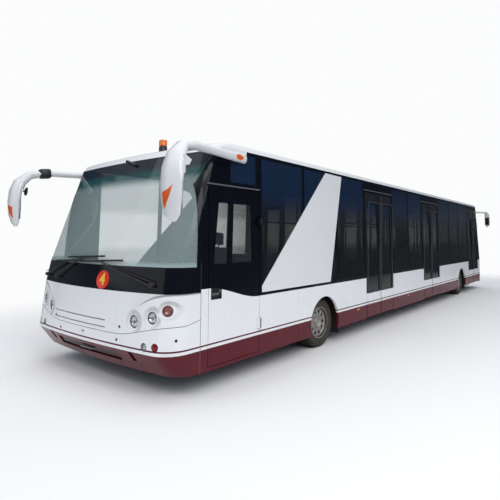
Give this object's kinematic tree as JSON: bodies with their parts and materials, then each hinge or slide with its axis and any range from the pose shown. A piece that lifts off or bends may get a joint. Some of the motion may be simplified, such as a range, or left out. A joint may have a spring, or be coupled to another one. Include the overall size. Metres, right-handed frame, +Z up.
{
  "type": "airport apron bus",
  "caption": "Low-floor airport apron bus with double doors on both sides, a driver's half cab, large glazing and horn-shaped front mirrors.",
  "frame": {"origin": "on the ground, under the middle of the whole length and width, mirrors included", "axes": "+X rearward along the bus, +Y to the bus's right, +Z up"},
  "size_m": [14.2604, 3.902, 3.07],
  "materials": {
    "axle_beams": "black painted forgings",
    "beacons": "amber lamp and white dome",
    "cab_fittings": "dark grey moulded platform, dash and wheel",
    "chassis_frame": "black painted steel",
    "door1_left_front_leaf": "black frame round dark glass, white and maroon below",
    "door1_left_front_post": "grey coated steel tube",
    "door1_left_rear_leaf": "black frame round dark glass, white and maroon below",
    "door1_left_rear_post": "grey coated steel tube",
    "door1_right_front_leaf": "black frame round dark glass, white and maroon below",
    "door1_right_front_post": "grey coated steel tube",
    "door1_right_rear_leaf": "black frame round dark glass, white and maroon below",
    "door1_right_rear_post": "grey coated steel tube",
    "door2_left_front_leaf": "black frame round dark glass, white and maroon below",
    "door2_left_front_post": "grey coated steel tube",
    "door2_left_rear_leaf": "black frame round dark glass, white and maroon below",
    "door2_left_rear_post": "grey coated steel tube",
    "door2_right_front_leaf": "black frame round dark glass, white and maroon below",
    "door2_right_front_post": "grey coated steel tube",
    "door2_right_rear_leaf": "black frame round dark glass, white and maroon below",
    "door2_right_rear_post": "grey coated steel tube",
    "door3_left_front_leaf": "black frame round dark glass, white and maroon below",
    "door3_left_front_post": "grey coated steel tube",
    "door3_left_rear_leaf": "black frame round dark glass, white and maroon below",
    "door3_left_rear_post": "grey coated steel tube",
    "door3_right_front_leaf": "black frame round dark glass, white and maroon below",
    "door3_right_front_post": "grey coated steel tube",
    "door3_right_rear_leaf": "black frame round dark glass, white and maroon below",
    "door3_right_rear_post": "grey coated steel tube",
    "driver_door": "white lower panel, black upper frame, tinted panes",
    "engine": "plain block",
    "fin_panels": "gloss white panel",
    "floor": "ribbed grey floor covering on ply",
    "front_bumper": "moulded panel, maroon below a white upper part",
    "front_lamps": "clear lamp lenses",
    "front_panels": "moulded panel in gloss white",
    "grab_rails": "coated steel tube",
    "knuckle_left": "forged steel",
    "knuckle_right": "forged steel",
    "mirror_arms": "moulded gloss white",
    "mirror_glass": "mirror glass",
    "rear_lamps": "red and amber lenses",
    "rear_panel": "gloss white above a maroon skirt",
    "rear_window": "dark tinted glass",
    "rim_front_left": "silver painted steel",
    "rim_front_right": "silver painted steel",
    "rim_rear_left": "silver painted steel",
    "rim_rear_right": "silver painted steel",
    "roof": "gloss white paint",
    "seats": "moulded seat shells",
    "side_glazing": "dark tinted glass",
    "side_wall_left": "gloss white above a maroon skirt, black window frames",
    "side_wall_right": "gloss white above a maroon skirt, black window frames",
    "tyre_front_left": "black rubber",
    "tyre_front_right": "black rubber",
    "tyre_rear_left": "black rubber",
    "tyre_rear_right": "black rubber",
    "wheelhouses": "dark coated steel boxes",
    "windscreen": "laminated glass",
    "windscreen_mask": "gloss black surround",
    "wipers": "black painted arms with rubber blades"
  },
  "bodies": {
    "steer_left": {"knuckle_left": "knuckle_left"},
    "wheel_front_left": {"tyre_front_left": "tyre_front_left", "rim_front_left": "rim_front_left"},
    "wheel_rear_left": {"tyre_rear_left": "tyre_rear_left", "rim_rear_left": "rim_rear_left"},
    "steer_right": {"knuckle_right": "knuckle_right"},
    "wheel_front_right": {"tyre_front_right": "tyre_front_right", "rim_front_right": "rim_front_right"},
    "wheel_rear_right": {"tyre_rear_right": "tyre_rear_right", "rim_rear_right": "rim_rear_right"},
    "driver_door": {"driver_door": "driver_door"},
    "door1_left_front_post": {"door1_left_front_post": "door1_left_front_post"},
    "door1_left_front_leaf": {"door1_left_front_leaf": "door1_left_front_leaf"},
    "door1_left_rear_post": {"door1_left_rear_post": "door1_left_rear_post"},
    "door1_left_rear_leaf": {"door1_left_rear_leaf": "door1_left_rear_leaf"},
    "door1_right_front_post": {"door1_right_front_post": "door1_right_front_post"},
    "door1_right_front_leaf": {"door1_right_front_leaf": "door1_right_front_leaf"},
    "door1_right_rear_post": {"door1_right_rear_post": "door1_right_rear_post"},
    "door1_right_rear_leaf": {"door1_right_rear_leaf": "door1_right_rear_leaf"},
    "door2_left_front_post": {"door2_left_front_post": "door2_left_front_post"},
    "door2_left_front_leaf": {"door2_left_front_leaf": "door2_left_front_leaf"},
    "door2_left_rear_post": {"door2_left_rear_post": "door2_left_rear_post"},
    "door2_left_rear_leaf": {"door2_left_rear_leaf": "door2_left_rear_leaf"},
    "door2_right_front_post": {"door2_right_front_post": "door2_right_front_post"},
    "door2_right_front_leaf": {"door2_right_front_leaf": "door2_right_front_leaf"},
    "door2_right_rear_post": {"door2_right_rear_post": "door2_right_rear_post"},
    "door2_right_rear_leaf": {"door2_right_rear_leaf": "door2_right_rear_leaf"},
    "door3_left_front_post": {"door3_left_front_post": "door3_left_front_post"},
    "door3_left_front_leaf": {"door3_left_front_leaf": "door3_left_front_leaf"},
    "door3_left_rear_post": {"door3_left_rear_post": "door3_left_rear_post"},
    "door3_left_rear_leaf": {"door3_left_rear_leaf": "door3_left_rear_leaf"},
    "door3_right_front_post": {"door3_right_front_post": "door3_right_front_post"},
    "door3_right_front_leaf": {"door3_right_front_leaf": "door3_right_front_leaf"},
    "door3_right_rear_post": {"door3_right_rear_post": "door3_right_rear_post"},
    "door3_right_rear_leaf": {"door3_right_rear_leaf": "door3_right_rear_leaf"},
    "body": {"axle_beams": "axle_beams", "beacons": "beacons", "cab_fittings": "cab_fittings", "chassis_frame": "chassis_frame", "engine": "engine", "fin_panels": "fin_panels", "floor": "floor", "front_bumper": "front_bumper", "front_lamps": "front_lamps", "front_panels": "front_panels", "grab_rails": "grab_rails", "mirror_arms": "mirror_arms", "mirror_glass": "mirror_glass", "rear_lamps": "rear_lamps", "rear_panel": "rear_panel", "rear_window": "rear_window", "roof": "roof", "seats": "seats", "side_glazing": "side_glazing", "side_wall_left": "side_wall_left", "side_wall_right": "side_wall_right", "wheelhouses": "wheelhouses", "windscreen": "windscreen", "windscreen_mask": "windscreen_mask", "wipers": "wipers"}
  },
  "joints": [
    {"name": "steer_left", "type": "hinge", "parent": "body", "child": "steer_left", "pos_m": [-3.775, -1.09, 0.38], "axis": [0, 0, 1], "range_deg": [-40, 40]},
    {"name": "wheel_front_left", "type": "hinge", "parent": "steer_left", "child": "wheel_front_left", "pos_m": [-3.775, -1.28, 0.38], "axis": [0, 1, 0], "continuous": true},
    {"name": "wheel_rear_left", "type": "hinge", "parent": "body", "child": "wheel_rear_left", "pos_m": [4.325, -1.28, 0.38], "axis": [0, 1, 0], "continuous": true},
    {"name": "steer_right", "type": "hinge", "parent": "body", "child": "steer_right", "pos_m": [-3.775, 1.09, 0.38], "axis": [0, 0, 1], "range_deg": [-40, 40]},
    {"name": "wheel_front_right", "type": "hinge", "parent": "steer_right", "child": "wheel_front_right", "pos_m": [-3.775, 1.28, 0.38], "axis": [0, 1, 0], "continuous": true},
    {"name": "wheel_rear_right", "type": "hinge", "parent": "body", "child": "wheel_rear_right", "pos_m": [4.325, 1.28, 0.38], "axis": [0, 1, 0], "continuous": true},
    {"name": "driver_door", "type": "hinge", "parent": "body", "child": "driver_door", "pos_m": [-5.395, -1.518, 1.3], "axis": [0, 0, 1], "range_deg": [0, 85]},
    {"name": "door1_left_front_post", "type": "hinge", "parent": "body", "child": "door1_left_front_post", "pos_m": [-2.243, -1.32723, 1.4], "axis": [0, 0, -1], "range_deg": [0, 130]},
    {"name": "door1_left_front_leaf", "type": "hinge", "parent": "door1_left_front_post", "child": "door1_left_front_leaf", "pos_m": [-1.90065, -1.4, 1.4], "axis": [0, 0, 1], "range_deg": [0, 130]},
    {"name": "door1_left_rear_post", "type": "hinge", "parent": "body", "child": "door1_left_rear_post", "pos_m": [-1.087, -1.32723, 1.4], "axis": [0, 0, 1], "range_deg": [0, 130]},
    {"name": "door1_left_rear_leaf", "type": "hinge", "parent": "door1_left_rear_post", "child": "door1_left_rear_leaf", "pos_m": [-1.42935, -1.4, 1.4], "axis": [0, 0, -1], "range_deg": [0, 130]},
    {"name": "door1_right_front_post", "type": "hinge", "parent": "body", "child": "door1_right_front_post", "pos_m": [-2.243, 1.32723, 1.4], "axis": [0, 0, 1], "range_deg": [0, 130]},
    {"name": "door1_right_front_leaf", "type": "hinge", "parent": "door1_right_front_post", "child": "door1_right_front_leaf", "pos_m": [-1.90065, 1.4, 1.4], "axis": [0, 0, -1], "range_deg": [0, 130]},
    {"name": "door1_right_rear_post", "type": "hinge", "parent": "body", "child": "door1_right_rear_post", "pos_m": [-1.087, 1.32723, 1.4], "axis": [0, 0, -1], "range_deg": [0, 130]},
    {"name": "door1_right_rear_leaf", "type": "hinge", "parent": "door1_right_rear_post", "child": "door1_right_rear_leaf", "pos_m": [-1.42935, 1.4, 1.4], "axis": [0, 0, 1], "range_deg": [0, 130]},
    {"name": "door2_left_front_post", "type": "hinge", "parent": "body", "child": "door2_left_front_post", "pos_m": [0.917, -1.32723, 1.4], "axis": [0, 0, -1], "range_deg": [0, 130]},
    {"name": "door2_left_front_leaf", "type": "hinge", "parent": "door2_left_front_post", "child": "door2_left_front_leaf", "pos_m": [1.25935, -1.4, 1.4], "axis": [0, 0, 1], "range_deg": [0, 130]},
    {"name": "door2_left_rear_post", "type": "hinge", "parent": "body", "child": "door2_left_rear_post", "pos_m": [2.073, -1.32723, 1.4], "axis": [0, 0, 1], "range_deg": [0, 130]},
    {"name": "door2_left_rear_leaf", "type": "hinge", "parent": "door2_left_rear_post", "child": "door2_left_rear_leaf", "pos_m": [1.73065, -1.4, 1.4], "axis": [0, 0, -1], "range_deg": [0, 130]},
    {"name": "door2_right_front_post", "type": "hinge", "parent": "body", "child": "door2_right_front_post", "pos_m": [0.917, 1.32723, 1.4], "axis": [0, 0, 1], "range_deg": [0, 130]},
    {"name": "door2_right_front_leaf", "type": "hinge", "parent": "door2_right_front_post", "child": "door2_right_front_leaf", "pos_m": [1.25935, 1.4, 1.4], "axis": [0, 0, -1], "range_deg": [0, 130]},
    {"name": "door2_right_rear_post", "type": "hinge", "parent": "body", "child": "door2_right_rear_post", "pos_m": [2.073, 1.32723, 1.4], "axis": [0, 0, -1], "range_deg": [0, 130]},
    {"name": "door2_right_rear_leaf", "type": "hinge", "parent": "door2_right_rear_post", "child": "door2_right_rear_leaf", "pos_m": [1.73065, 1.4, 1.4], "axis": [0, 0, 1], "range_deg": [0, 130]},
    {"name": "door3_left_front_post", "type": "hinge", "parent": "body", "child": "door3_left_front_post", "pos_m": [5.217, -1.32723, 1.4], "axis": [0, 0, -1], "range_deg": [0, 130]},
    {"name": "door3_left_front_leaf", "type": "hinge", "parent": "door3_left_front_post", "child": "door3_left_front_leaf", "pos_m": [5.55935, -1.4, 1.4], "axis": [0, 0, 1], "range_deg": [0, 130]},
    {"name": "door3_left_rear_post", "type": "hinge", "parent": "body", "child": "door3_left_rear_post", "pos_m": [6.373, -1.32723, 1.4], "axis": [0, 0, 1], "range_deg": [0, 130]},
    {"name": "door3_left_rear_leaf", "type": "hinge", "parent": "door3_left_rear_post", "child": "door3_left_rear_leaf", "pos_m": [6.03065, -1.4, 1.4], "axis": [0, 0, -1], "range_deg": [0, 130]},
    {"name": "door3_right_front_post", "type": "hinge", "parent": "body", "child": "door3_right_front_post", "pos_m": [5.217, 1.32723, 1.4], "axis": [0, 0, 1], "range_deg": [0, 130]},
    {"name": "door3_right_front_leaf", "type": "hinge", "parent": "door3_right_front_post", "child": "door3_right_front_leaf", "pos_m": [5.55935, 1.4, 1.4], "axis": [0, 0, -1], "range_deg": [0, 130]},
    {"name": "door3_right_rear_post", "type": "hinge", "parent": "body", "child": "door3_right_rear_post", "pos_m": [6.373, 1.32723, 1.4], "axis": [0, 0, -1], "range_deg": [0, 130]},
    {"name": "door3_right_rear_leaf", "type": "hinge", "parent": "door3_right_rear_post", "child": "door3_right_rear_leaf", "pos_m": [6.03065, 1.4, 1.4], "axis": [0, 0, 1], "range_deg": [0, 130]}
  ],
  "couplings": [
    {"joint": "steer_right", "follows": "steer_left", "ratio": 1},
    {"joint": "door1_left_front_leaf", "follows": "door1_left_front_post", "ratio": 1},
    {"joint": "door1_left_rear_post", "follows": "door1_left_front_post", "ratio": 1},
    {"joint": "door1_left_rear_leaf", "follows": "door1_left_front_post", "ratio": 1},
    {"joint": "door1_right_front_leaf", "follows": "door1_right_front_post", "ratio": 1},
    {"joint": "door1_right_rear_post", "follows": "door1_right_front_post", "ratio": 1},
    {"joint": "door1_right_rear_leaf", "follows": "door1_right_front_post", "ratio": 1},
    {"joint": "door2_left_front_leaf", "follows": "door2_left_front_post", "ratio": 1},
    {"joint": "door2_left_rear_post", "follows": "door2_left_front_post", "ratio": 1},
    {"joint": "door2_left_rear_leaf", "follows": "door2_left_front_post", "ratio": 1},
    {"joint": "door2_right_front_leaf", "follows": "door2_right_front_post", "ratio": 1},
    {"joint": "door2_right_rear_post", "follows": "door2_right_front_post", "ratio": 1},
    {"joint": "door2_right_rear_leaf", "follows": "door2_right_front_post", "ratio": 1},
    {"joint": "door3_left_front_leaf", "follows": "door3_left_front_post", "ratio": 1},
    {"joint": "door3_left_rear_post", "follows": "door3_left_front_post", "ratio": 1},
    {"joint": "door3_left_rear_leaf", "follows": "door3_left_front_post", "ratio": 1},
    {"joint": "door3_right_front_leaf", "follows": "door3_right_front_post", "ratio": 1},
    {"joint": "door3_right_rear_post", "follows": "door3_right_front_post", "ratio": 1},
    {"joint": "door3_right_rear_leaf", "follows": "door3_right_front_post", "ratio": 1}
  ]
}
